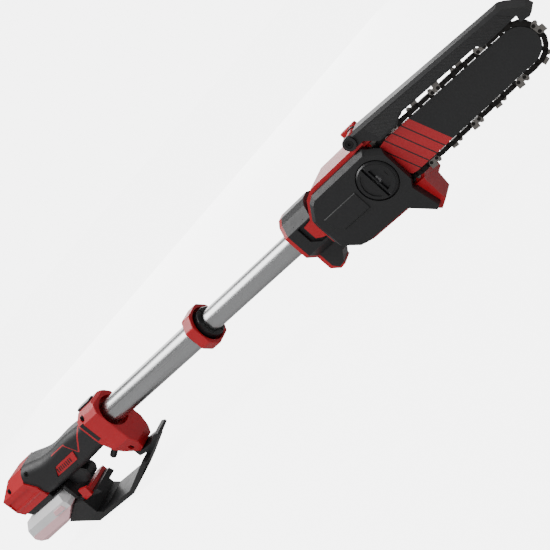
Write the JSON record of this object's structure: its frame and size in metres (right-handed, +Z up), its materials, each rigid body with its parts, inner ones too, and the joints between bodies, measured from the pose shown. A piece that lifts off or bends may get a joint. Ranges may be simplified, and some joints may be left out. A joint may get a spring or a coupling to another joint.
{
  "type": "telescoping pole saw",
  "caption": "Battery pole saw: a rear handle with trigger and hand guard, a two-section sliding pole with a clamp ring, and a compact chainsaw head with hinged guard.",
  "frame": {"origin": "on the pole's axis, in the middle of the bare stretch of the lower tube where it is held", "axes": "+X along the pole towards the tip of the bar, +Z up through the chain guard, -Y the side with the cover and knob"},
  "size_m": [0.91, 0.0715, 0.134],
  "materials": {
    "red_plastic": "moulded, fine spark texture",
    "black_plastic": "moulded, fine texture",
    "grip_rubber": "overmoulded soft grip",
    "dark_plastic": "semi-gloss",
    "tube_aluminium": "drawn and anodised",
    "bar_steel": "black paint",
    "chain_steel": "oiled",
    "bright_steel": "machined",
    "cutter_steel": "hard chrome",
    "copper": "wound",
    "board": "solder mask",
    "lead_sheath": "matte",
    "tank_plastic": "translucent",
    "battery_grey": "pale",
    "battery_pink": "pale red",
    "cell_wrap": "shrink sleeve",
    "terminal_brass": "tinned"
  },
  "bodies": {
    "handle": {"lower_tube": "tube_aluminium", "pole_lead": "lead_sheath", "clamp_collet": "dark_plastic", "front_housing_right": "red_plastic", "front_housing_left": "red_plastic", "button_switch": "dark_plastic", "lever_pin": "bright_steel", "handle_screws": "bright_steel", "grip_right": "grip_rubber", "grip_left": "grip_rubber", "grip_inset_right": "red_plastic", "grip_inset_left": "red_plastic", "trigger_pin": "bright_steel", "trigger_switch": "dark_plastic", "control_board": "board", "rear_housing_right": "red_plastic", "rear_housing_left": "red_plastic", "battery_rail": "black_plastic", "rail_terminals": "terminal_brass", "hand_guard": "black_plastic", "strap_hook": "black_plastic"},
    "saw_head": {"upper_tube": "tube_aluminium", "neck_ring": "red_plastic", "neck_right": "black_plastic", "neck_left": "black_plastic", "hook_rim": "red_plastic", "motor_housing_right": "red_plastic", "motor_housing_left": "red_plastic", "side_cover": "black_plastic", "bar_stud": "bright_steel", "guide_bar": "bar_steel", "chain_drive_links": "chain_steel", "chain_tie_straps": "chain_steel", "chain_cutters": "cutter_steel", "chain_rivets": "bright_steel", "motor_stator": "copper", "motor_bearings": "bright_steel", "guard_screw": "bright_steel", "oil_tank": "tank_plastic"},
    "rotor": {"drive_sprocket": "bright_steel", "motor_shaft": "bright_steel", "motor_rotor": "chain_steel"},
    "bar_knob": {"bar_knob": "dark_plastic", "knob_pin": "bright_steel"},
    "knob_grip": {"knob_grip": "dark_plastic"},
    "chain_guard": {"chain_guard": "black_plastic"},
    "oil_cap": {"oil_cap": "red_plastic"},
    "clamp_ring": {"clamp_ring": "red_plastic"},
    "power_button": {"power_button": "dark_plastic"},
    "release_lever": {"release_lever": "dark_plastic"},
    "trigger": {"trigger": "dark_plastic"},
    "lock_off_slider": {"lock_off_slider": "red_plastic"},
    "battery": {"battery_top": "battery_grey", "battery_base": "battery_pink", "battery_cells": "cell_wrap"},
    "battery_release": {"battery_release": "battery_pink"}
  },
  "joints": [
    {"name": "pole_slide", "type": "slide", "parent": "handle", "child": "saw_head", "axis": [1, 0, 0], "range_m": [-0.105, 0.06], "deforming": ["pole_lead"]},
    {"name": "clamp_ring_turn", "type": "hinge", "parent": "handle", "child": "clamp_ring", "pos_m": [0.145, 0, 0], "axis": [1, 0, 0], "range_deg": [0, 60]},
    {"name": "chain_guard_swing", "type": "hinge", "parent": "saw_head", "child": "chain_guard", "pos_m": [0.4385, -0.027, 0.0405], "axis": [0, -1, 0], "range_deg": [0, 70]},
    {"name": "bar_knob_turn", "type": "hinge", "parent": "saw_head", "child": "bar_knob", "pos_m": [0.43, -0.039, 0], "axis": [0, -1, 0], "continuous": true},
    {"name": "knob_grip_fold", "type": "hinge", "parent": "bar_knob", "child": "knob_grip", "pos_m": [0.4298, -0.0388, 0], "axis": [0, 0, -1], "range_deg": [0, 90]},
    {"name": "motor_spin", "type": "hinge", "parent": "saw_head", "child": "rotor", "pos_m": [0.407, 0, 0], "axis": [0, -1, 0], "continuous": true},
    {"name": "oil_cap_turn", "type": "hinge", "parent": "saw_head", "child": "oil_cap", "pos_m": [0.425, 0.009, 0.035], "axis": [0, 0, 1], "range_deg": [0, 90]},
    {"name": "power_button_press", "type": "slide", "parent": "handle", "child": "power_button", "axis": [0, 0, -1], "range_m": [0, 0.0015], "stiffness_N_per_m": 900, "springref_m": -0.001},
    {"name": "release_lever_swing", "type": "hinge", "parent": "handle", "child": "release_lever", "pos_m": [-0.075, 0, -0.029], "axis": [0, 1, 0], "range_deg": [0, 8], "stiffness_Nm_per_rad": 0.6, "springref_deg": -8.59},
    {"name": "trigger_squeeze", "type": "hinge", "parent": "handle", "child": "trigger", "pos_m": [-0.173, 0, -0.015], "axis": [0, -1, 0], "range_deg": [0, 6], "stiffness_Nm_per_rad": 0.8, "springref_deg": -8.59},
    {"name": "lock_off_push", "type": "slide", "parent": "handle", "child": "lock_off_slider", "axis": [0, -1, 0], "range_m": [0, 0.004], "stiffness_N_per_m": 300, "springref_m": -0.003},
    {"name": "battery_slide", "type": "slide", "parent": "handle", "child": "battery", "axis": [-1, 0, 0], "range_m": [0, 0.08]},
    {"name": "battery_release_press", "type": "slide", "parent": "battery", "child": "battery_release", "axis": [0, 0, -1], "range_m": [0, 0.002], "stiffness_N_per_m": 500, "springref_m": -0.002}
  ]
}
